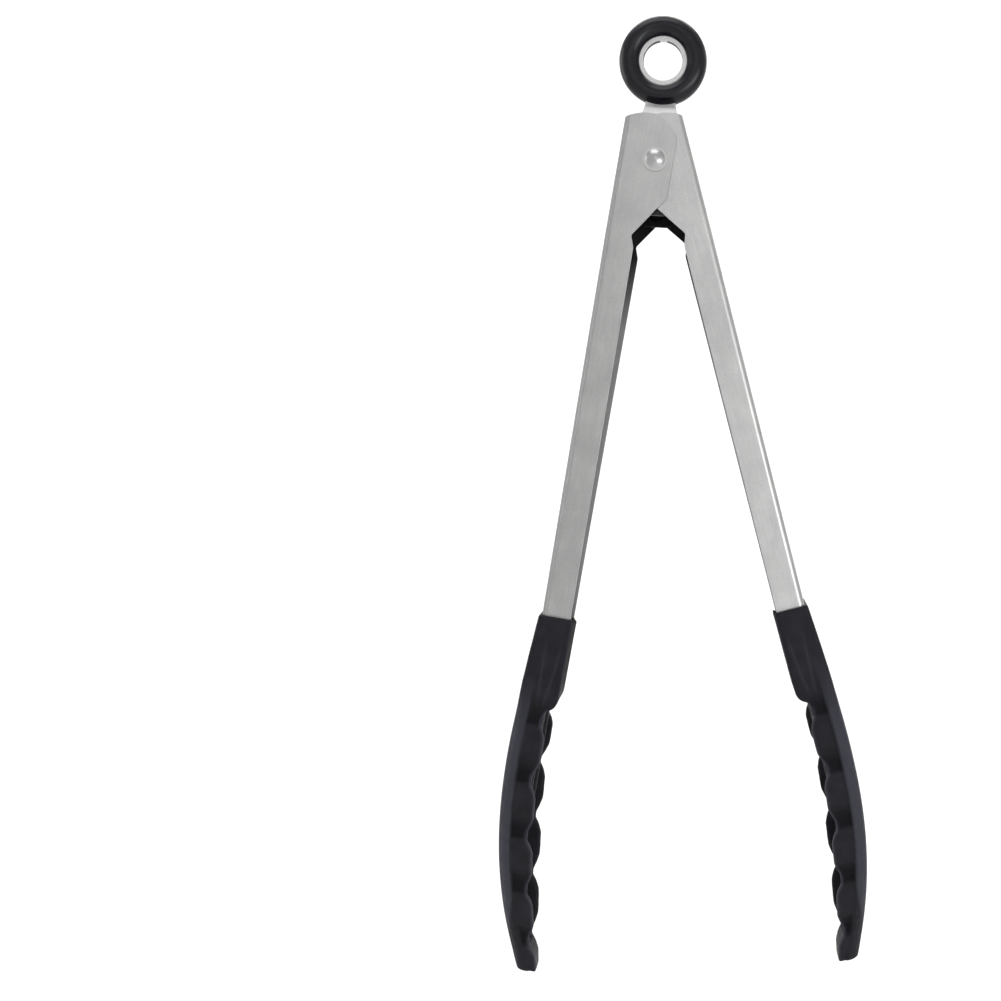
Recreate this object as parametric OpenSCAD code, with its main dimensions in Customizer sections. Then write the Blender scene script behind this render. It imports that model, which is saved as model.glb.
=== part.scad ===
// Spring loaded kitchen tongs with silicone heads and a pull-ring lock.
// Millimetres, +Z up. The origin is the centre of the hole in the hanging
// ring, X runs across the open jaws and Y through the tongs from front to back.
// The arms are drawn open, with the ring pushed in, as they stand at rest.
// In an arm's own frame X points outwards, Z upwards and the rivet is at zero,
// so a place "down the arm" is a length below the rivet.

/* [Pose at rest] */
// Angle between the two open arms
open_angle = 24.5; // [22:0.5:26]
// Lean of the lock tab away from the middle line between the arms
tab_lean = 5.5; // [3:0.5:6]

/* [Steel arms] */
// Sheet thickness of the arms
sheet = 0.8; // [0.6:0.05:1]
// Outer radius of the bend between web and flange
bend_r = 1.8; // [1.4:0.1:2.4]
// Outer depth of the channel at the hinge, front to back
hinge_depth = 25; // [22:0.5:30]
// Outer depth of the channel where it enters the silicone
neck_depth = 13.2; // [12:0.2:14]
// Distance from the rivet to the outer face of the web
web_out = 10.8; // [10.4:0.1:12]
// Distance from the rivet to the free edge of a hinge cheek
cheek_in = 5.2; // [4.5:0.1:6]
// Distance from the arm's middle line to the free edge of its flanges
flange_in = 2; // [1:0.1:3]
// Height of the domed cheek above the rivet
crown_h = 12.7; // [12:0.1:14]
// Height of the web's top edge above the rivet
web_top = 9.4; // [8.5:0.1:9.6]
// How far down the arm the straight side of the cheek ends
cheek_low = 10.4; // [9:0.2:12]
// How far down the arm the slanted cheek edge meets the flange
notch_low = 22.4; // [21:0.2:26]
// How far down the arm the steel enters the silicone
neck_at = 138; // [120:1:160]
// Length of the bare-edged tongue that carries the silicone
tongue_len = 69; // [60:1:75]

/* [Silicone heads] */
// Length of the sleeve that wraps the end of the channel
sleeve_len = 28; // [24:1:32]
// Length from the sleeve's top to the tip
head_len = 112; // [100:1:124]
// Silicone outside the web at the sleeve's top
skin = 0.8; // [0.6:0.1:1.2]
// Rise of the spine of the head above the sleeve's top edge
spine_rise = 2.1; // [1:0.1:3]
// How far the spine curves in from its crest to the tip
spine_drop = 13.2; // [10:0.2:15]
// Half width of the head at its widest
head_half = 12.5; // [11:0.1:14]
// Half width of the blunt tip
tip_half = 3.6; // [3:0.1:5]
// Length of the solid tip beyond the scoop
tip_solid = 8.5; // [5:0.5:12]
// Length of one scallop along the rim
scallop = 17.6; // [14:0.2:20]
// Height of a scallop above and below the mean rim
scallop_h = 1; // [0.5:0.1:1.4]
// How far the side walls are pinched in at each valley
pinch = 1.4; // [0.8:0.1:1.8]
// Wall thickness beside the scoop
scoop_wall = 2; // [1.6:0.1:2.6]
// Thickness of the spine behind the scoop
spine_thick = 3.2; // [2.6:0.1:4]

/* [Rivet] */
// Diameter of the rivet's shank
rivet_d = 4; // [3.4:0.1:4.6]
// Diameter of the domed heads
dome_d = 5.7; // [5.4:0.1:7]
// Height of a domed head
dome_h = 1.1; // [0.8:0.1:1.6]
// Diameter of the flat collar under a dome
collar_d = 7; // [6.6:0.1:8]

/* [Torsion spring] */
// Wire diameter
wire_d = 1.6; // [1.2:0.1:1.8]
// Mean radius of the coil
coil_r = 4.2; // [3.8:0.1:4.6]
// Whole turns between the two legs
coil_turns = 5; // [4:1:6]
// How far down the arms the legs reach
leg_reach = 34; // [28:1:45]

/* [Lock tab and ring] */
// Distance from the ring's centre to the rivet with the ring pushed in
tab_reach = 31.5; // [30:0.5:34]
// Travel of the ring from pushed in to pulled out
tab_travel = 12; // [8:0.5:12.5]
// Width of the tab where it leaves the ring
tab_neck = 8.8; // [7:0.2:9]
// Width of the tab's locking shoulders
tab_wide = 16.4; // [14:0.2:16.6]
// Width of the legs below the shoulders
leg_wide = 12; // [9:0.5:13]
// Steel left below the rivet slot in the tab
slot_wall = 1.5; // [1.2:0.1:5]
// Diameter of the hanging hole
eye_d = 11.6; // [9:0.2:12]
// Outer diameter of the grip ring
ring_d = 26.2; // [24:0.2:28]
// Thickness of the grip ring's round section
ring_thick = 6.2; // [5:0.2:6.6]

/* [Clearances] */
// Gap between one sheet and the next across the hinge
side_gap = 0.15; // [0.1:0.05:0.25]
// Radial running clearance between the rivet and the arms
rivet_gap = 0.05; // [0.03:0.01:0.1]
// Gap between the rivet and the sides of its slot
slot_gap = 0.15; // [0.1:0.05:0.3]
// Gap between a spring leg and the web it pushes on
leg_gap = 0.1; // [0.05:0.05:0.3]

/* [Hidden] */

$fn = 64;
STEEL = "silver";
BRIGHT_STEEL = "gainsboro";
SILICONE = "#2e2f36";
BLACK_GRIP = "#2b2c2e";

half_open = open_angle / 2;
rivet_at = [-tab_reach * sin(tab_lean), 0, -tab_reach * cos(tab_lean)];
hole_r = rivet_d / 2 + rivet_gap;
far = 60;          // larger than the hinge in every direction
arc_steps = 8;     // straight pieces in a rounded corner

// Depths of the nested sheets, measured from the middle plane
outer_half = hinge_depth / 2;
inner_half = outer_half - sheet - side_gap;
tab_half = inner_half - sheet - side_gap;
neck_half = neck_depth / 2;

// Places down the arm
taper_at = notch_low + 0.6;
taper_end = neck_at - 1;
sleeve_end = neck_at + sleeve_len;
tongue_end = neck_at + tongue_len;
tip_at = neck_at + head_len;

// The bare tongue below the sleeve has lower flanges, which leave room for the scoop
tongue_step = 3.4;
tongue_in = flange_in + tongue_step;
sleeve_in = flange_in - 1;
rim_in = flange_in + 2.2;

// --- outlines -------------------------------------------------------------

// Points of an outline given as [x, y, radius], with each corner rounded.
function rounded(pts) = [
  for (i = [0:len(pts) - 1])
    each corner(
      pts[(i + len(pts) - 1) % len(pts)], pts[i], pts[(i + 1) % len(pts)]
    )
];

function flat2(p) = [p[0], p[1]];
function unit(v) = v / norm(v);

// The arc that replaces corner b, which lies between a and c.
function corner(a, b, c) =
  b[2] == 0 ? [flat2(b)] :
  let (
    to_a = unit(flat2(a) - flat2(b)),
    to_c = unit(flat2(c) - flat2(b)),
    half = acos(to_a * to_c) / 2,
    centre = flat2(b) + unit(to_a + to_c) * b[2] / sin(half),
    from = flat2(b) + to_a * b[2] / tan(half) - centre,
    to = flat2(b) + to_c * b[2] / tan(half) - centre,
    sweep = 180 - 2 * half,
    side = from[0] * to[1] - from[1] * to[0] > 0 ? 1 : -1
  )
  [for (i = [0:arc_steps])
    let (t = side * sweep * i / arc_steps)
    centre + [from[0] * cos(t) - from[1] * sin(t), from[0] * sin(t) + from[1] * cos(t)]];

// Turns a front-view outline, drawn in X and Z, into a plate across Y.
module across(depth) {
  rotate([90, 0, 0]) linear_extrude(depth, center = true) children();
}

// Turns a side-view outline, drawn in Y and Z, into a block across X.
module sideways(width) {
  rotate([90, 0, 90]) linear_extrude(width, center = true) children();
}

// Puts a right-hand arm piece in its place, open by half the angle.
module place_right() {
  translate(rivet_at) rotate([0, -half_open, 0]) children();
}

// The left-hand side is the mirror image of the right-hand side.
module place_left() {
  translate(rivet_at) rotate([0, half_open, 0]) mirror([1, 0, 0]) children();
}

// --- steel arms -----------------------------------------------------------

// Front view of an arm: domed cheek, slanted edge, flange, bare tongue.
// It runs past the web, whose outer face the folded sheet gives.
module arm_outline() {
  past_web = web_out + 5;
  crown = 4.5;        // the crown's flat top ends this far inside the web
  outer_fall = 4.6;   // the crown is this much lower at the web
  inner_fall = 5.6;   // and this much lower at the cheek's inner edge
  notch_foot = 3.4;   // the slanted edge runs out over this length
  step_len = 2.8;     // length of the step from the flange to the tongue
  polygon(rounded([
    [past_web, -tongue_end + 0.1, 0],
    [past_web, crown_h - outer_fall, 0],
    [web_out - crown, crown_h, 14],
    [flange_in - 1.5, crown_h, 5],
    [-cheek_in, crown_h - inner_fall, 2],
    [-cheek_in, -cheek_low, 1],
    [flange_in + 1.2, -notch_low, 1.2],
    [flange_in, -notch_low - notch_foot, 3],
    [flange_in, 0.8 - sleeve_end, 3],
    [tongue_in, 0.8 - sleeve_end - step_len, 2],
    [tongue_in, -tongue_end + 0.1, 0]
  ]));
}

// Section of the folded sheet, as [x, y] points: up the front flange, round
// the bend, across the web and back, then along the inside of the sheet.
function channel_section(half) =
  let (
    edge = -far,
    outer_face = web_out,
    inner_face = web_out - sheet
  )
  rounded([
    [edge, -half, 0],
    [outer_face, -half, bend_r],
    [outer_face, half, bend_r],
    [edge, half, 0],
    [edge, half - sheet, 0],
    [inner_face, half - sheet, bend_r - sheet],
    [inner_face, sheet - half, bend_r - sheet],
    [edge, sheet - half, 0]
  ]);

// A channel through stations [place down the arm, half depth]. Only the flanges
// move in from one station to the next, so that every face stays flat.
// Each end is closed by a row of small faces that follows the strip of sheet.
module channel(stations) {
  n = len(channel_section(stations[0][1]));
  last = len(stations) - 1;
  ending = function (k, first) [first + k, first + k + 1, first + n - 2 - k, first + n - 1 - k];
  turned = function (face) [for (i = [len(face) - 1:-1:0]) face[i]];
  polyhedron(
    points = [for (s = stations, p = channel_section(s[1])) [p[0], p[1], -s[0]]],
    faces = concat(
      [for (i = [0:last - 1], k = [0:n - 1])
        let (next = (k + 1) % n)
        [i * n + k, i * n + next, (i + 1) * n + next, (i + 1) * n + k]],
      [for (k = [0:n / 2 - 2]) turned(ending(k, 0))],
      [for (k = [0:n / 2 - 2]) ending(k, last * n)]
    )
  );
}

// The web stops lower than the cheeks, so that the tab can pass.
module web_relief(half) {
  translate([web_out - bend_r, -half + bend_r, web_top]) cube([far, 2 * (half - bend_r), far]);
}

module arm_sheet(half) {
  difference() {
    intersection() {
      channel([
        [-crown_h - 1, half], [taper_at, half],
        [taper_end, neck_half], [tongue_end, neck_half]
      ]);
      across(2 * far) arm_outline();
    }
    web_relief(half);
  }
}

module rivet_bore() {
  rotate([90, 0, 0]) cylinder(r = hole_r, h = 2 * far, center = true);
}

module left_arm() {
  color(STEEL) place_left() difference() {
    arm_sheet(outer_half);
    rivet_bore();
  }
}

module right_arm() {
  color(STEEL) place_right() difference() {
    arm_sheet(inner_half);
    rivet_bore();
  }
}

// --- silicone heads -------------------------------------------------------

// The spine's distance from the middle line, at a place down the arm.
crest_at = neck_at + 42;
spine_curve = 2.3;  // how late the spine bends in towards the tip
function spine(d) =
  let (top = web_out + skin)
  d < crest_at
    ? top + spine_rise * sin(90 * (d - neck_at) / (crest_at - neck_at))
    : top + spine_rise - spine_drop * pow((d - crest_at) / (tip_at - crest_at), spine_curve);

// 1 at the bottom of each valley between two scallops and 0 on the bumps. The
// slopes before and after a valley are given as shares of a scallop's length.
first_valley = sleeve_end + 4;
into_valley = 0.36;
out_of_rim = 0.28;
out_of_side = 0.16;
function soft_step(t) = t * t * (3 - 2 * t);
function valley(d, before, after) =
  let (
    turns = (d - first_valley) / scallop,
    along = turns - floor(turns)
  )
  along < after ? soft_step(1 - along / after) :
  along > 1 - before ? soft_step((along - 1 + before) / before) : 0;

// The rim's distance from the middle line.
rim_drop = spine_drop - 4;
rim_bend = sleeve_end + 19;
rim_curve = 1.5;
function rim(d) =
  rim_in - (d > rim_bend ? rim_drop * pow((d - rim_bend) / (tip_at - rim_bend), rim_curve) : 0)
  + scallop_h * (2 * valley(d, into_valley, out_of_rim) - 1);

// Half the width of the head, seen from inside the jaws.
sleeve_half = neck_half + 1;
sleeve_flare = 1.4;  // the sleeve's half width grows by this much
widest_at = sleeve_end + 17;
function head_side(d) =
  let (flared = sleeve_half + sleeve_flare)
  d < sleeve_end ? sleeve_half + sleeve_flare * (d - neck_at) / sleeve_len :
  (d < widest_at
    ? flared + (head_half - flared) * sin(90 * (d - sleeve_end) / (widest_at - sleeve_end))
    : tip_half + (head_half - tip_half) * cos(90 * (d - widest_at) / (tip_at - widest_at)))
  - pinch * valley(d, into_valley, out_of_side);

fine = 2.2;  // spacing of the points along the head's outlines

// Front view of the head, with its scalloped rim.
module head_outline() {
  sleeve_corner = rounded([
    [rim(sleeve_end + 1) + 0.4, -sleeve_end - 1, 0],
    [sleeve_in + 0.4, -sleeve_end + 0.6, 4],
    [sleeve_in, -neck_at, 0]
  ]);
  polygon(concat(
    [for (d = [neck_at:fine:tip_at - 1.2]) [spine(d), -d]],
    [[spine(tip_at), -tip_at]],
    [for (d = [tip_at:-fine:sleeve_end + 2]) [rim(d), -d]],
    [for (i = [0:len(sleeve_corner) - 1]) sleeve_corner[i]]
  ));
}

// The head's outline as seen from inside the jaws, made smaller by a margin.
module head_leaf(margin, from, to) {
  steps = ceil((to - from) / fine);
  ends = [for (i = [0:steps]) from + (to - from) * i / steps];
  polygon(concat(
    [for (d = ends) [head_side(d) - margin, -d]],
    [for (i = [steps:-1:0]) [margin - head_side(ends[i]), -ends[i]]]
  ));
}

// The hollow of the scoop, open towards the other head.
module scoop() {
  from = sleeve_end;
  to = tip_at - tip_solid;
  steps = ceil((to - from) / fine);
  intersection() {
    across(2 * far)
      polygon(concat(
        [[-far, -to], [-far, -from]],
        [for (i = [0:steps]) let (d = from + (to - from) * i / steps) [spine(d) - spine_thick, -d]]
      ));
    sideways(2 * far) head_leaf(scoop_wall, from, to);
  }
}

// Silicone that covers the steel tongue where it runs on into the scoop.
module tongue_cover() {
  translate([tongue_in - skin, -sleeve_half, -tongue_end - skin])
    cube([web_out - tongue_in, 2 * sleeve_half, tongue_len - sleeve_len + 2]);
}

// The space inside the channel stays open, under a thin lining.
module channel_hollow() {
  lining = 0.6;
  inside = neck_half - sheet - lining;
  translate([sleeve_in + 1, -inside, -sleeve_end])
    cube([web_out - sheet - lining - sleeve_in - 1, 2 * inside, sleeve_len + 1]);
  translate([-far, -inside, -tongue_end + 2])
    cube([far + web_out - sheet - lining, 2 * inside, tongue_len - sleeve_len - 1]);
}

// The room that the steel takes inside the silicone.
module steel_room() {
  intersection() {
    channel([[neck_at - 1, neck_half], [tongue_end, neck_half]]);
    across(2 * far) arm_outline();
  }
}

module head() {
  difference() {
    union() {
      difference() {
        intersection() {
          across(2 * far) head_outline();
          sideways(2 * far) head_leaf(0, neck_at, tip_at);
        }
        scoop();
      }
      tongue_cover();
    }
    channel_hollow();
    steel_room();
  }
}

module left_head() {
  color(SILICONE) place_left() head();
}

module right_head() {
  color(SILICONE) place_right() head();
}

// --- rivet ----------------------------------------------------------------

// One end of the rivet: a thin collar and a dome, drawn upwards from zero.
module rivet_end() {
  collar_h = 0.3;
  dome_r = (pow(dome_d / 2, 2) + pow(dome_h, 2)) / (2 * dome_h);
  cylinder(d = collar_d, h = collar_h);
  intersection() {
    translate([0, 0, collar_h + dome_h - dome_r]) sphere(r = dome_r);
    cylinder(d = collar_d, h = collar_h + dome_h);
  }
}

module rivet() {
  seat = outer_half + 0.05;
  color(BRIGHT_STEEL) translate(rivet_at) rotate([90, 0, 0]) {
    cylinder(d = rivet_d, h = 2 * seat, center = true);
    for (side = [0, 1]) mirror([0, 0, side]) translate([0, 0, seat]) rivet_end();
  }
}

// --- torsion spring -------------------------------------------------------

coil_pitch = wire_d + 0.08;
leg_u = web_out - sheet - wire_d / 2 - leg_gap;

// X and Z of a point given in the right-hand arm's frame; side is -1 on the left.
function in_arm(side, u, d) = [
  side * (d * sin(half_open) + u * cos(half_open)),
  -d * cos(half_open) + u * sin(half_open)
];

right_end = in_arm(1, leg_u, leg_reach);
left_end = in_arm(-1, leg_u, leg_reach);
leg_turn = acos(coil_r / norm(right_end));
from_angle = atan2(left_end[1], left_end[0]) - leg_turn + 360;
to_angle = atan2(right_end[1], right_end[0]) + leg_turn;
coil_sweep = from_angle - to_angle + 360 * coil_turns;
coil_half = coil_pitch * coil_sweep / 720;

coil_points = 96;
wire_path = concat(
  [for (k = [0, 0.5]) let (
      start = [coil_r * cos(from_angle), coil_r * sin(from_angle)],
      p = left_end + (start - left_end) * k
    ) [p[0], -coil_half, p[1]]],
  [for (i = [0:coil_points]) let (
      t = i / coil_points,
      a = from_angle - coil_sweep * t
    ) [coil_r * cos(a), -coil_half + 2 * coil_half * t, coil_r * sin(a)]],
  [for (k = [0.5, 1]) let (
      start = [coil_r * cos(to_angle), coil_r * sin(to_angle)],
      p = start + (right_end - start) * k
    ) [p[0], coil_half, p[1]]]
);

// A round wire along a path that never runs along Y.
wire_sides = 10;
module wire(path, radius) {
  n = len(path);
  ring = function (i)
    let (
      along = unit(path[min(i + 1, n - 1)] - path[max(i - 1, 0)]),
      across = unit(cross([0, 1, 0], along)),
      up = cross(along, across)
    )
    [for (k = [0:wire_sides - 1])
      let (a = 360 * k / wire_sides)
      path[i] + radius * (cos(a) * across + sin(a) * up)];
  walls = [for (i = [0:n - 2], k = [0:wire_sides - 1])
    let (next = (k + 1) % wire_sides)
    [i * wire_sides + k, i * wire_sides + next,
     (i + 1) * wire_sides + next, (i + 1) * wire_sides + k]];
  polyhedron(
    points = [for (i = [0:n - 1]) each ring(i)],
    faces = concat(
      walls,
      [[for (k = [wire_sides - 1:-1:0]) k]],
      [[for (k = [0:wire_sides - 1]) (n - 1) * wire_sides + k]]
    )
  );
}

module torsion_spring() {
  color(BRIGHT_STEEL) translate(rivet_at) wire(wire_path, wire_d / 2);
}

// --- lock tab and ring ----------------------------------------------------

ring_mid_r = (ring_d - ring_thick) / 2;
plate_half = 1;                                // half the thickness of the doubled eye
tab_shoulder = tab_reach - 2;                  // the shoulders sit just above the rivet
shoulder_len = 4.5;
slot_r = rivet_d / 2 + slot_gap;
tab_len = tab_reach + tab_travel + slot_r + slot_wall;

module place_tab() {
  rotate([0, tab_lean, 0]) children();
}

// Front view: the eye, the tapered neck, the shoulders and the legs.
module tab_outline() {
  neck_at_z = -ring_d / 2 + 1;
  circle(r = ring_mid_r);
  polygon(rounded([
    [-tab_neck / 2 + 1, 0, 0],
    [-tab_neck / 2, neck_at_z, 0],
    [-tab_wide / 2, -tab_shoulder, 1],
    [-tab_wide / 2, -tab_shoulder - shoulder_len, 1],
    [-leg_wide / 2, -tab_shoulder - shoulder_len - 3, 1],
    [-leg_wide / 2, -tab_len, 3],
    [leg_wide / 2, -tab_len, 3],
    [leg_wide / 2, -tab_shoulder - shoulder_len - 3, 1],
    [tab_wide / 2, -tab_shoulder - shoulder_len, 1],
    [tab_wide / 2, -tab_shoulder, 1],
    [tab_neck / 2, neck_at_z, 0],
    [tab_neck / 2 - 1, 0, 0]
  ]));
}

// Side view of the folded strip, which spreads from the eye into two legs.
module tab_profile() {
  split_at = -ring_d / 2 - 0.4;
  split_inside = 1.4;            // the legs part this far below the split outside
  spread_at = 7 - tab_reach;
  outside = [
    [plate_half, ring_d / 2],
    [plate_half, split_at],
    [tab_half, spread_at],
    [tab_half, -tab_len]
  ];
  inside = [
    [tab_half - sheet, -tab_len],
    [tab_half - sheet, spread_at - 0.4],
    [0, split_at - split_inside]
  ];
  front = concat(outside, inside);
  polygon(concat(front, [for (i = [len(front) - 2:-1:0]) [-front[i][0], front[i][1]]]));
}

// The slot that lets the tab slide on the rivet.
module rivet_slot() {
  across(2 * far) {
    translate([0, -tab_reach]) circle(r = slot_r);
    translate([0, -tab_reach - tab_travel]) circle(r = slot_r);
    translate([-slot_r, -tab_reach - tab_travel]) square([2 * slot_r, tab_travel]);
  }
}

module lock_tab() {
  color(STEEL) place_tab() difference() {
    intersection() {
      across(2 * far) tab_outline();
      sideways(2 * far) tab_profile();
    }
    rotate([90, 0, 0]) cylinder(d = eye_d, h = far, center = true);
    rivet_slot();
  }
}

// The round grip is moulded over the rim of the eye and the root of the neck.
module ring_grip() {
  color(BLACK_GRIP) place_tab() difference() {
    rotate([90, 0, 0]) rotate_extrude() translate([ring_mid_r, 0]) circle(d = ring_thick);
    intersection() {
      across(2 * far) tab_outline();
      sideways(2 * far) tab_profile();
    }
  }
}

left_arm();
right_arm();
left_head();
right_head();
rivet();
torsion_spring();
lock_tab();
ring_grip();
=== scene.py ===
"""Spring loaded kitchen tongs, hung by the ring with the arms open.

Everything is in metres in the frame of the CAD model: +Z up, X across the open
jaws, Y through the tongs, and the origin in the middle of the hanging hole.
"""

from math import cos, pi, radians, sin

import bpy
import numpy as np
from mathutils import Matrix, Vector


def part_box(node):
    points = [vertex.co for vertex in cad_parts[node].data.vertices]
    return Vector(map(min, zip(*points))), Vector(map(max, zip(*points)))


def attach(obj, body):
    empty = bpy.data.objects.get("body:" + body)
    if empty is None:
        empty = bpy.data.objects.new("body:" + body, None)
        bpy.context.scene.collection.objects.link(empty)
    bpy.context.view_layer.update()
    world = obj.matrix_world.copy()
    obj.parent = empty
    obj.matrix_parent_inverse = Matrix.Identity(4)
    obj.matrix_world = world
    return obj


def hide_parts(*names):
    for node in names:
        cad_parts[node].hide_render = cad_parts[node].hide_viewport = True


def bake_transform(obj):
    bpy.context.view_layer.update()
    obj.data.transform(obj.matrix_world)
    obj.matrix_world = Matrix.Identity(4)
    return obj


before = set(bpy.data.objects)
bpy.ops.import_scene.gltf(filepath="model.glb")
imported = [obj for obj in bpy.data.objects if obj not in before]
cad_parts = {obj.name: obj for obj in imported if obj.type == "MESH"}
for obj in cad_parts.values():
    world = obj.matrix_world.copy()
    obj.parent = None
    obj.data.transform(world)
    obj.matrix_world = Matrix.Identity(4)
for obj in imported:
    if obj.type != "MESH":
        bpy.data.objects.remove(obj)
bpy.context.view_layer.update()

MM = 0.001

# Sizes that the CAD model shares, in metres.
HALF_OPEN = radians(12.25)      # each arm's angle from the middle line
TAB_LEAN = radians(5.5)         # the lock tab's angle from the middle line
SLEEVE_HALF = 7.6 * MM          # half width of a head at its top
FLARED_HALF = 9 * MM            # and where its sleeve ends
HEAD_HALF = 12.5 * MM           # and where it is widest
TIP_HALF = 3.6 * MM             # and at its tip
SCALLOP = 17.6 * MM             # one scallop of a head's rim
SCALLOP_H = 1 * MM              # its height above and below the mean rim
SLEEVE_IN = 1 * MM              # the sleeve's rim, out from the arm's middle line
RIM_IN = 4.2 * MM               # the mean rim below the sleeve
RIM_DROP = 9.2 * MM             # how far the rim bends in by the tip

# Places that the CAD model shares, in metres down an arm from the rivet.
NECK_AT = 138 * MM              # top of the silicone
SLEEVE_END = NECK_AT + 28 * MM  # end of the sleeve that wraps the channel
FIRST_VALLEY = SLEEVE_END + 4 * MM
WIDEST_AT = SLEEVE_END + 17 * MM
RIM_BEND = SLEEVE_END + 19 * MM
TIP_AT = NECK_AT + 112 * MM

# Where the looks change.
FOLD_AXIS = 4 * MM              # an arm's channel runs this far out from its middle line
HIDDEN_AT = 40 * MM             # the tab is inside the arms from here down
BAND = 4.1 * MM                 # width of the rounded band along a head's back
SLEEVE_ROUND = 1 * MM           # radius of the sleeve's long corners
BACK_ROUND = 3.9 * MM           # and of the back's, below the sleeve
SIDE_SINK = 0.5 * MM            # how far a head's sides lie inside its band
DIP_SINK = 1.3 * MM             # and how much further at a dip
LIP_TRIM = 2.2 * MM             # how much lower the sleeve's top is at its open side
MERGE = 2e-6                    # CAD vertices closer than this are one
VOXEL = 0.5 * MM

# The studio, in metres.
FLOOR_Z = -0.62
FLOOR_R = 1.6
CURVE_R = 0.9


# --- small tools ------------------------------------------------------------

def linear(hex_colour):
    """An sRGB colour such as "#2e2f36" as linear red, green, blue and alpha."""
    values = [int(hex_colour[i:i + 2], 16) / 255 for i in (1, 3, 5)]
    return [v / 12.92 if v <= 0.04045 else ((v + 0.055) / 1.055) ** 2.4 for v in values] + [1.0]


def toned(hex_colour, painted_light):
    """The same colour made lighter or darker, never brighter than white."""
    return [min(1.0, v * painted_light) for v in linear(hex_colour)[:3]] + [1.0]


def deselect():
    if bpy.context.object and bpy.context.object.mode != "OBJECT":
        bpy.ops.object.mode_set(mode="OBJECT")
    bpy.ops.object.select_all(action="DESELECT")


def pick(obj):
    """Makes obj the only selected object, and the active one."""
    deselect()
    obj.select_set(True)
    bpy.context.view_layer.objects.active = obj
    return obj


def copy_of(node, name):
    """A copy of a CAD node with its loose triangles merged into one surface."""
    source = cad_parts[node]
    piece = bpy.data.objects.new(name, source.data.copy())
    bpy.context.scene.collection.objects.link(piece)
    piece.data.materials.clear()
    pick(piece)
    bpy.ops.object.mode_set(mode="EDIT")
    bpy.ops.mesh.select_all(action="SELECT")
    bpy.ops.mesh.remove_doubles(threshold=MERGE)
    bpy.ops.mesh.dissolve_limited(angle_limit=radians(0.5))
    bpy.ops.object.mode_set(mode="OBJECT")
    return piece


def apply_modifiers(obj):
    pick(obj)
    for modifier in list(obj.modifiers):
        bpy.ops.object.modifier_apply(modifier=modifier.name)


def smooth(obj, angle):
    pick(obj)
    bpy.ops.object.shade_smooth_by_angle(angle=radians(angle))


def wear(obj, material):
    obj.data.materials.clear()
    obj.data.materials.append(material)


# --- node materials -----------------------------------------------------------

def new_material(name):
    material = bpy.data.materials.new(name)
    material.use_nodes = True
    return material, material.node_tree, material.node_tree.nodes["Principled BSDF"]


def add(tree, kind, links=None, **settings):
    """Adds a node. settings are its properties or input values, links its inputs."""
    made = tree.nodes.new(kind)
    for key, value in settings.items():
        if hasattr(made, key):
            setattr(made, key, value)
        else:
            made.inputs[key.replace("_", " ")].default_value = value
    for key, output in (links or {}).items():
        tree.links.new(output, made.inputs[key])
    return made


def attribute(tree, name):
    """A number that the mesh carries, such as how far a face is inside a channel."""
    return add(tree, "ShaderNodeAttribute", attribute_name=name).outputs["Fac"]


def mixed(tree, factor, first, second, kind="RGBA"):
    """Mixes two colours or two numbers by a factor; each is a socket or a value."""
    made = add(tree, "ShaderNodeMix", data_type=kind)
    slots = {"RGBA": (6, 7, 2), "FLOAT": (2, 3, 0)}[kind]
    for slot, value in zip((0,) + slots[:2], (factor, first, second)):
        if isinstance(value, bpy.types.NodeSocket):
            tree.links.new(value, made.inputs[slot])
        else:
            made.inputs[slot].default_value = value
    return made.outputs[slots[2]]


def span(tree, factor, low, high, from_at=0.3, to_at=0.7):
    """Spreads a noise's middle range over two numbers."""
    made = add(tree, "ShaderNodeMapRange", {"Value": factor})
    for key, value in (("From Min", from_at), ("From Max", to_at), ("To Min", low), ("To Max", high)):
        made.inputs[key].default_value = value
    return made.outputs["Result"]


def noise(tree, vector, size, detail=3.0, roughness=0.55, distortion=0.0):
    made = add(tree, "ShaderNodeTexNoise", {"Vector": vector}, Scale=1 / size,
               Detail=detail, Roughness=roughness, Distortion=distortion)
    return made.outputs["Fac"]


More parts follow.
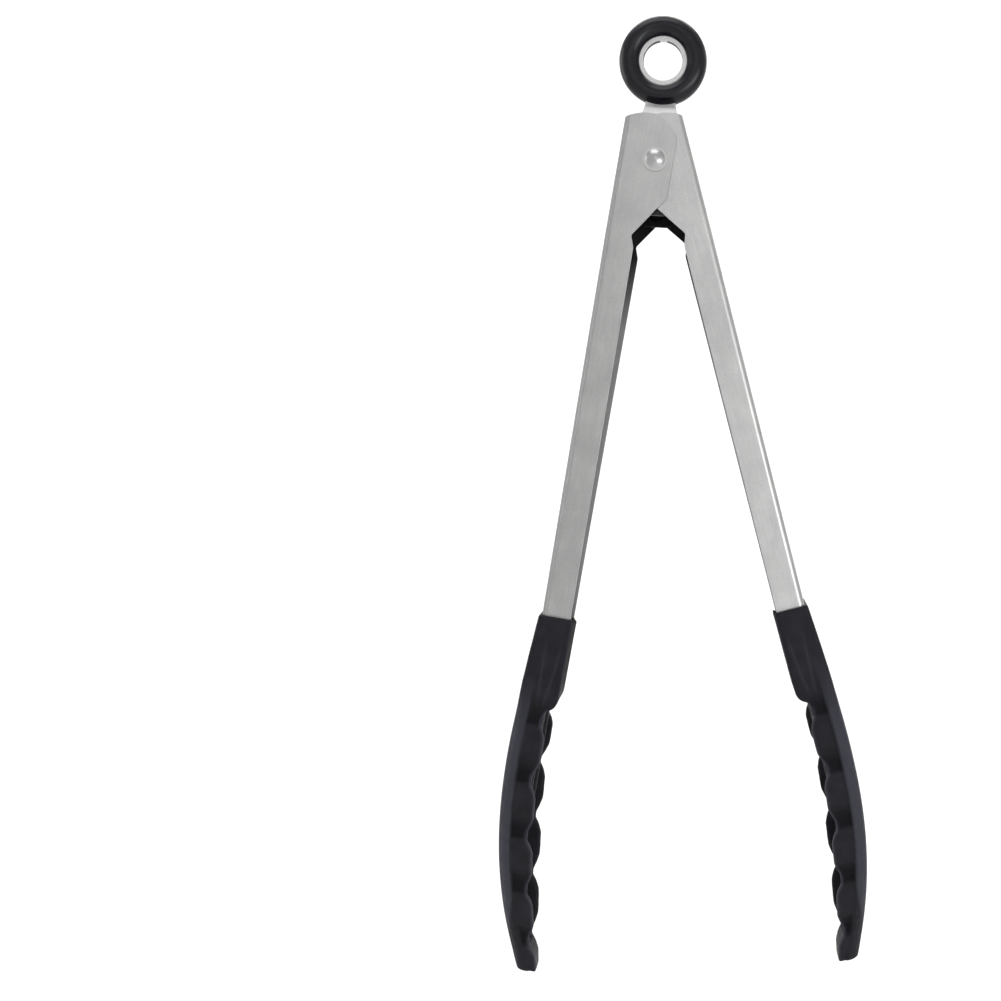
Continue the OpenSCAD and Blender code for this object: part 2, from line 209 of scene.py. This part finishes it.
def brushed_stainless(name, along, dull=0.0, painted_light=1.0):
    """Stainless sheet, brushed lengthwise outside: fine streaks and faint clouds.
    Inside the folds it is painted a dark grey as shade, paler below the hinge, and the bends get a
    painted dark line."""
    material, tree, shader = new_material(name)
    place = add(tree, "ShaderNodeTexCoord").outputs["Object"]
    turned = add(tree, "ShaderNodeMapping", {"Vector": place}, Rotation=(0, along, 0)).outputs[0]
    long = add(tree, "ShaderNodeMapping", {"Vector": turned}, Scale=(1, 1, 0.03)).outputs[0]
    streaks = noise(tree, long, 0.5 * MM, 4.0, 0.65)
    clouds = noise(tree, place, 9 * MM, 3.0)
    # The tone factor is painted light: it lightens or darkens the whole sheet as light falls on each
    # part.
    bright = mixed(tree, streaks, toned("#a0a0a1", painted_light), toned("#c6c6c6", painted_light))
    bright = mixed(tree, span(tree, clouds, 0.0, 0.7), bright, toned("#a2a2a3", painted_light))
    grit = noise(tree, turned, 0.3 * MM, 2.0)
    bright = mixed(tree, span(tree, grit, 0.0, 0.35, 0.45, 0.8), bright, toned("#d2d2d2", painted_light))
    # Painted shade: a dark line along the outer bends, standing in for the dark they would reflect,
    # as strong as each part's shade value.
    bright = mixed(tree, attribute(tree, "edge"), bright, linear("#747476"))
    # Painted shade: faces inside the folds are dark grey near the hinge and paler below it.
    height = add(tree, "ShaderNodeSeparateXYZ", {"Vector": place}).outputs["Z"]
    below_hinge = span(tree, height, 0.0, 1.0, -56 * MM, -78 * MM)
    fold_shade = mixed(tree, clouds, linear("#2c2c2d"), linear("#444445"))
    fold_shade = mixed(tree, below_hinge, fold_shade, linear("#a0a0a1"))
    inside = attribute(tree, "inside")
    tree.links.new(mixed(tree, inside, bright, fold_shade), shader.inputs["Base Color"])
    rough = span(tree, streaks, 0.34 + dull, 0.42 + dull)
    tree.links.new(mixed(tree, inside, rough, 0.5, "FLOAT"), shader.inputs["Roughness"])
    bump = add(tree, "ShaderNodeBump", {"Height": streaks}, Strength=0.12, Distance=0.01 * MM)
    tree.links.new(bump.outputs[0], shader.inputs["Normal"])
    shader.inputs["Metallic"].default_value = 1.0
    return material


def moulded_silicone(name):
    """Food-grade silicone from a blasted mould: matt charcoal, a fine even grain, a painted
    highlight on the band along the back, painted shade where it dips and inside the sleeve,
    and painted highlights along the rims and over the edges of the steel tongue."""
    material, tree, shader = new_material(name)
    place = add(tree, "ShaderNodeTexCoord").outputs["Object"]
    mottle = noise(tree, place, 5 * MM, 4.0)
    body = mixed(tree, span(tree, mottle, 0, 1), linear("#141419"), linear("#1e1e25"))
    # Painted shade: near black on the dips and inside the sleeve and its lip, where shade falls.
    body = mixed(tree, attribute(tree, "dip"), body, linear("#040405"))
    # Painted highlight: paler along the rounded back, where the light grazes it.
    body = mixed(tree, attribute(tree, "band"), body, linear("#35353e"))
    # Painted highlight: pale along the rims and over the edges of the steel tongue.
    body = mixed(tree, attribute(tree, "rim"), body, linear("#34343d"))
    tree.links.new(body, shader.inputs["Base Color"])
    tree.links.new(span(tree, mottle, 0.48, 0.6), shader.inputs["Roughness"])
    grain = noise(tree, place, 0.35 * MM, 2.0)
    bump = add(tree, "ShaderNodeBump", {"Height": grain}, Strength=0.15, Distance=0.03 * MM)
    tree.links.new(bump.outputs[0], shader.inputs["Normal"])
    # The painted shade also loses most of its reflection.
    gloss = mixed(tree, attribute(tree, "dip"), 0.15, 0.01, "FLOAT")
    tree.links.new(gloss, shader.inputs["Specular IOR Level"])
    return material


def moulded_grip(name):
    """Black thermoplastic rubber from a polished mould: deep black with one soft
    highlight, and the odd faint scuff."""
    material, tree, shader = new_material(name)
    place = add(tree, "ShaderNodeTexCoord").outputs["Object"]
    scuffs = noise(tree, place, 3 * MM, 5.0, 0.6)
    colour = mixed(tree, scuffs, linear("#0b0b11"), linear("#111119"))
    tree.links.new(colour, shader.inputs["Base Color"])
    tree.links.new(span(tree, scuffs, 0.22, 0.27), shader.inputs["Roughness"])
    shader.inputs["Specular IOR Level"].default_value = 0.3
    return material


def polished_stainless(name, rough):
    """Cold-worked stainless, tumbled bright: soft mirror with faint swirls."""
    material, tree, shader = new_material(name)
    place = add(tree, "ShaderNodeTexCoord").outputs["Object"]
    swirls = noise(tree, place, 0.8 * MM, 4.0, 0.55, 1.5)
    colour = mixed(tree, swirls, linear("#a2a2a3"), linear("#c0c0c0"))
    tree.links.new(colour, shader.inputs["Base Color"])
    tree.links.new(span(tree, swirls, rough, rough + 0.08), shader.inputs["Roughness"])
    shader.inputs["Metallic"].default_value = 1.0
    return material


# --- the pieces -----------------------------------------------------------------

rivet_low, rivet_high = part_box("rivet")
RIVET = (rivet_low + rivet_high) / 2


def arm_matrix(side):
    """From an arm's own frame, with Z up the arm and X outwards, to the model's."""
    turn = Matrix.Rotation(-side * HALF_OPEN, 4, "Y")
    flip = Matrix.Diagonal((side, 1, 1, 1))
    return Matrix.Translation(RIVET) @ turn @ flip


def mark_faces(obj, name, values):
    """Stores one number per face, for the material to read."""
    layer = obj.data.attributes.new(name, "FLOAT", "FACE")
    layer.data.foreach_set("value", np.asarray(values, dtype=np.float32))


def deburr(piece, width):
    """Breaks the sharp edges, and keeps the flat faces flat to the light."""
    edge = piece.modifiers.new("deburred", "BEVEL")
    edge.width = width
    edge.segments = 2
    edge.limit_method = "ANGLE"
    edge.angle_limit = radians(50)
    apply_modifiers(piece)
    smooth(piece, 40)
    flat = piece.modifiers.new("flat faces stay flat", "WEIGHTED_NORMAL")
    flat.keep_sharp = True
    apply_modifiers(piece)


def mark_sheet(piece, to_model, axis_u, shade, hidden_at=1.0):
    """Marks the faces that look into the fold or lie below hidden_at, to be painted dark as shade,
    and the bends, for a painted dark line. The fold's middle line runs down its own frame at
    u = axis_u, y = 0."""
    to_own = to_model.inverted()
    turn = to_own.to_3x3()
    inside, edge = [], []
    for face in piece.data.polygons:
        centre, normal = to_own @ face.center, turn @ face.normal
        reach = Vector((centre.x - axis_u, centre.y, 0))
        looks = reach.x * normal.x + reach.y * normal.y
        into = looks < -0.2 * reach.length or centre.z < -hidden_at
        # Faces looking into the fold, and all faces below hidden_at, are painted dark as shade.
        inside.append(1.0 if into else 0.0)
        # Outer bends get a painted dark line, as strong as shade.
        bend = abs(normal.x) > 0.6 and abs(normal.y) > 0.2
        edge.append(shade if bend and not inside[-1] else 0.0)
    mark_faces(piece, "inside", inside)
    mark_faces(piece, "edge", edge)


def formed_arm(node, side, shade, material):
    """The folded sheet, with its cut edges broken as deburring leaves them."""
    piece = copy_of(node, node + "_formed")
    deburr(piece, 0.12 * MM)
    mark_sheet(piece, arm_matrix(side), FOLD_AXIS, shade)
    wear(piece, material)
    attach(piece, node)
    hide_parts(node)


def make_arms():
    # The left arm gets a darker tone and a stronger painted dark line on its bends than the right:
    # painted shade and light, as the light falls on each arm.
    for node, side, shade, painted_light in (("left_arm", -1, 0.9, 0.96), ("right_arm", 1, 0.1, 1.08)):
        name = f"brushed stainless sheet, {node.split('_')[0]} arm"
        formed_arm(node, side, shade, brushed_stainless(name, side * HALF_OPEN, painted_light=painted_light))


def fade(t):
    """Eases from 0 to 1 as t does."""
    t = np.clip(t, 0, 1)
    return t * t * (3 - 2 * t)


def share(d, start, end):
    """How far d has come from start to end, from 0 to 1."""
    return np.clip((d - start) / (end - start), 0, 1)


def side_at(d):
    """Half the width of a head where nothing pinches it."""
    sleeve = SLEEVE_HALF + (FLARED_HALF - SLEEVE_HALF) * (d - NECK_AT) / (SLEEVE_END - NECK_AT)
    swell = np.sin(pi / 2 * share(d, SLEEVE_END, WIDEST_AT))
    swell = FLARED_HALF + (HEAD_HALF - FLARED_HALF) * swell
    taper = np.cos(pi / 2 * share(d, WIDEST_AT, TIP_AT))
    taper = TIP_HALF + (HEAD_HALF - TIP_HALF) * taper
    return np.where(d < SLEEVE_END, sleeve, np.where(d < WIDEST_AT, swell, taper))


def dip_at(d):
    """0 on the bumps; each dip eases in downwards, then ends in a crisp step."""
    along = np.mod((d - FIRST_VALLEY) / SCALLOP, 1.0)
    easing_in = fade((along - 0.5) / 0.4)
    step_out = fade((0.07 - along) / 0.06)
    return np.where(d < SLEEVE_END - 3 * MM, 0.0, np.maximum(easing_in, step_out))


def reach_at(d, values, pitch=0.6 * MM):
    """The largest of the values at each place down the arm, read off the mesh."""
    low = d.min()
    bins = ((d - low) / pitch).astype(int)
    most = np.full(bins.max() + 1, -1.0)
    np.maximum.at(most, bins, values)
    middles = low + (np.arange(len(most)) + 0.5) * pitch
    held = most > -1.0
    return np.interp(d, middles[held], most[held])


def rim_at(d):
    """Where a head's scalloped rim lies, d down the arm from the rivet."""
    along = np.mod((d - FIRST_VALLEY) / SCALLOP, 1.0)
    valley = np.maximum(fade(1 - along / 0.28), fade((along - 0.64) / 0.36))
    drop = RIM_DROP * share(d, RIM_BEND, TIP_AT) ** 1.5
    scalloped = RIM_IN - drop + SCALLOP_H * (2 * valley - 1)
    return np.where(d < SLEEVE_END, SLEEVE_IN, scalloped)


def points_of(obj):
    flat = np.empty(len(obj.data.vertices) * 3)
    obj.data.vertices.foreach_get("co", flat)
    return flat.reshape(-1, 3)


def put_points(obj, points):
    obj.data.vertices.foreach_set("co", points.ravel())
    obj.data.update()


def mark(obj, name, values):
    """Stores one number per vertex, for the material to read."""
    layer = obj.data.attributes.new(name, "FLOAT", "POINT")
    layer.data.foreach_set("value", np.clip(values, 0, 1).astype(np.float32))


def tongue_edge_highlight(u, d):
    """Two pale lines painted as a highlight along the edges of the steel's end under the skin,
    narrowing as a U. Here d is in millimetres down from the silicone's top, as are the
    outline's two lines."""
    d = (d - NECK_AT) / MM
    near = 8.2 - 0.03 * d
    far = 2.9 + 0.004 * d * d
    lines = sum(np.exp(-((u / MM - line) / 0.35) ** 2) for line in (near, far))
    return lines * fade((d - 5) / 8) * fade((30 - d) / 8)


def shape_head(piece):
    """Rounds the back into a smooth band and sinks the sides beside it, with a
    dip above every valley of the scalloped rim."""
    p = points_of(piece)
    u, y, d = p[:, 0].copy(), p[:, 1].copy(), -p[:, 2]
    back, half = reach_at(d, u), reach_at(d, np.abs(y))
    full, dip = np.maximum(side_at(d), half), dip_at(d)
    in_scoop = fade((d - (SLEEVE_END - 8 * MM)) / (14 * MM))
    at_back = fade((u - (back - BAND - 0.3 * MM)) / (0.6 * MM))
    side = full - (SIDE_SINK + DIP_SINK * dip) * in_scoop
    y *= (side + (full - side) * at_back) / half
    # The long corners, as arcs that keep the outermost faces where they are.
    r = SLEEVE_ROUND + (BACK_ROUND - SLEEVE_ROUND) * in_scoop
    r = np.minimum(r, 0.8 * full)
    du = (u - (back - r)) / r
    dy = (np.abs(y) - (full - r)) / r
    corner = (du > 0) & (dy > 0)
    pull = np.maximum(du, dy) / (np.sqrt(du * du + dy * dy) + 1e-9)
    u = np.where(corner, back - r + r * du * pull, u)
    y = np.where(corner, np.sign(y) * (full - r + r * dy * pull), y)
    # The lip at the top of the sleeve is trimmed lower at the back of its open side.
    at_top = fade((NECK_AT + 6 * MM - d) / (6 * MM))
    lip = at_top * fade((y + 1 * MM) / (5 * MM)) * fade((6 * MM - u) / (3 * MM))
    p[:, 0], p[:, 1], p[:, 2] = u, y, p[:, 2] - LIP_TRIM * lip
    put_points(piece, p)
    outer = fade((np.abs(y) - (side - 1.2 * MM)) / (0.6 * MM))
    inner = fade((half - 1.0 * MM - np.abs(y)) / (0.6 * MM)) * fade((3 * MM - u) / MM)
    # band: a painted highlight along the rounded back.
    narrowing = BAND * fade((TIP_AT - 5 * MM - d) / (22 * MM))
    band = fade((u - (back - narrowing)) / (0.5 * MM))
    band = band * fade((d - (NECK_AT + 12 * MM)) / (30 * MM))
    mark(piece, "band", band)
    # dip: painted shade on the dips beside the band, and on the sleeve's inner faces and lip.
    lips = fade((rim_at(d) + 0.9 * MM - u) / (0.4 * MM))
    sleeve_shade = np.maximum(inner, lips) * (1 - in_scoop)
    mark(piece, "dip", 0.5 * dip * outer * (1 - at_back) * in_scoop + sleeve_shade)
    # rim: a painted highlight along the rim, and over the edges of the steel tongue.
    rim = np.exp(-((u - rim_at(d) - 0.2 * MM) / (0.4 * MM)) ** 2)
    mark(piece, "rim", outer * (rim + 0.4 * tongue_edge_highlight(u, d)))


def make_head(node, arm, side, material):
    """The CAD head with its steel pocket filled, then moulded in one skin."""
    piece = copy_of(node, node + "_moulded")
    tongue = copy_of(arm, arm + "_tongue")
    bpy.ops.object.mode_set(mode="EDIT")
    bpy.ops.mesh.select_all(action="SELECT")
    down = arm_matrix(side).to_3x3() @ Vector((0, 0, -1))
    cut_at = arm_matrix(side) @ Vector((0, 0, -NECK_AT - 0.2 * MM))
    bpy.ops.mesh.bisect(plane_co=cut_at, plane_no=down, use_fill=True, clear_inner=True)
    bpy.ops.object.mode_set(mode="OBJECT")
    deselect()
    tongue.select_set(True)
    piece.select_set(True)
    bpy.context.view_layer.objects.active = piece
    bpy.ops.object.join()
    piece.data.transform(arm_matrix(side).inverted())
    if side < 0:
        piece.data.flip_normals()
    skin = piece.modifiers.new("moulded skin", "REMESH")
    skin.mode = "VOXEL"
    skin.voxel_size = VOXEL
    soften = piece.modifiers.new("softened", "SMOOTH")
    soften.factor = 0.5
    soften.iterations = 2
    apply_modifiers(piece)
    shape_head(piece)
    settle = piece.modifiers.new("settled", "SMOOTH")
    settle.factor = 0.4
    settle.iterations = 1
    apply_modifiers(piece)
    piece.data.transform(arm_matrix(side))
    if side < 0:
        piece.data.flip_normals()
    pick(piece)
    bpy.ops.object.shade_smooth()
    wear(piece, material)
    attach(piece, arm)
    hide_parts(node)


def make_heads():
    silicone = moulded_silicone("moulded silicone, matt charcoal")
    make_head("left_head", "left_arm", -1, silicone)
    make_head("right_head", "right_arm", 1, silicone)


def make_lock():
    """The stamped tab, its moulded grip and the rivet."""
    lean = Matrix.Rotation(TAB_LEAN, 4, "Y")
    tab = copy_of("lock_tab", "lock_tab_stamped")
    deburr(tab, 0.1 * MM)
    pick(tab)
    bpy.ops.object.mode_set(mode="EDIT")
    bpy.ops.mesh.select_all(action="SELECT")
    hidden_from = lean @ Vector((0, 0, -HIDDEN_AT))
    bpy.ops.mesh.bisect(plane_co=hidden_from, plane_no=lean @ Vector((0, 0, 1)))
    bpy.ops.object.mode_set(mode="OBJECT")
    # The tab is painted dark as shade inside its fold and below HIDDEN_AT, where it lies between the
    # arms, with a painted dark line on its bends.
    mark_sheet(tab, lean, 0, 0.8, HIDDEN_AT)
    # Its tone of 1.35 paints it lighter than the arms: painted light.
    strip = brushed_stainless("stamped stainless strip, lock tab", TAB_LEAN, dull=0.12, painted_light=1.35)
    wear(tab, strip)
    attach(tab, "lock_tab")
    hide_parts("lock_tab")
    wear(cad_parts["ring_grip"], moulded_grip("moulded black grip rubber"))
    wear(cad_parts["rivet"], polished_stainless("tumbled stainless rivet", 0.27))


def make_spring():
    """The coil, copied from the CAD model and shaded smooth in drawn stainless wire."""
    wire = copy_of("torsion_spring", "torsion_spring_wound")
    smooth(wire, 60)
    wear(wire, polished_stainless("drawn stainless spring wire", 0.3))
    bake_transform(wire)
    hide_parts("torsion_spring")


# --- stage, light and camera ------------------------------------------------------

def make_stage():
    """A round studio bowl: a pale floor that curves up into pale walls."""
    deselect()
    bpy.ops.mesh.primitive_circle_add(
        vertices=96, radius=FLOOR_R, fill_type="NGON", location=(0, 0, FLOOR_Z))
    bowl = bpy.context.object
    bowl.name = "studio_bowl"
    bpy.ops.object.mode_set(mode="EDIT")
    bpy.ops.mesh.select_all(action="SELECT")
    radius = FLOOR_R
    for i in range(8):
        start, stop = pi / 16 * i, pi / 16 * (i + 1)
        wider = FLOOR_R + CURVE_R * sin(stop)
        bpy.ops.mesh.extrude_region_move()
        bpy.ops.transform.translate(value=(0, 0, CURVE_R * (cos(start) - cos(stop))))
        bpy.ops.transform.resize(
            value=(wider / radius, wider / radius, 1), center_override=(0, 0, FLOOR_Z))
        radius = wider
    bpy.ops.mesh.extrude_region_move()
    bpy.ops.transform.translate(value=(0, 0, 1.2))
    bpy.ops.mesh.delete(type="FACE")
    bpy.ops.object.mode_set(mode="OBJECT")
    smooth(bowl, 60)
    material, tree, shader = new_material("matt white studio paint")
    shader.inputs["Base Color"].default_value = linear("#f4f4f3")
    shader.inputs["Roughness"].default_value = 0.9
    shader.inputs["Specular IOR Level"].default_value = 0.0
    wear(bowl, material)


def softbox(name, place, aim, size, power):
    light = bpy.data.lights.new(name, "AREA")
    light.shape = "RECTANGLE"
    light.size, light.size_y = size
    light.energy = power
    lamp = bpy.data.objects.new(name, light)
    lamp.location = place
    lamp.rotation_euler = (Vector(aim) - Vector(place)).to_track_quat("-Z", "Y").to_euler()
    bpy.context.scene.collection.objects.link(lamp)


def make_lights():
    """Four soft boxes for the tongs, and one behind them for the bowl."""
    middle = (0, 0, -0.13)
    softbox("window_box", (0.68, -1.05, -0.22), middle, (0.8, 0.45), 4.2)
    softbox("front_box", (0, -1.1, 0.25), middle, (0.5, 0.3), 0.35)
    softbox("left_box", (-1.1, 0.1, 0.2), middle, (0.6, 0.9), 3)
    softbox("overhead_box", (-0.1, -0.4, 1.1), middle, (0.9, 0.7), 4)
    softbox("backdrop_box", (0, 0.9, 1.5), (0, 2.3, -0.3), (1.8, 1.0), 26)
    world = bpy.data.worlds.new("studio air")
    world.use_nodes = True
    world.node_tree.nodes["Background"].inputs["Color"].default_value = (1, 1, 1, 1)
    world.node_tree.nodes["Background"].inputs["Strength"].default_value = 0.66
    bpy.context.scene.world = world
    bpy.context.scene.view_settings.view_transform = "Standard"
    bpy.context.scene.view_settings.look = "None"


def make_camera():
    """A camera in front of the arms, 0.35 m away, looking slightly down."""
    lens = bpy.data.cameras.new("camera")
    lens.sensor_width = 36
    lens.lens = 41
    lens.shift_x = -0.195
    camera = bpy.data.objects.new("camera", lens)
    tilt = Matrix.Rotation(radians(0.54), 4, "Z") @ Matrix.Rotation(radians(90 - 3.84), 4, "X")
    roll = Matrix.Rotation(radians(-2.1), 4, "Z")
    camera.matrix_world = Matrix.Translation(Vector((8.2, -347.8, -108.1)) * MM) @ tilt @ roll
    bpy.context.scene.collection.objects.link(camera)
    bpy.context.scene.camera = camera


make_camera()
make_arms()
make_heads()
make_lock()
make_spring()
make_stage()
make_lights()
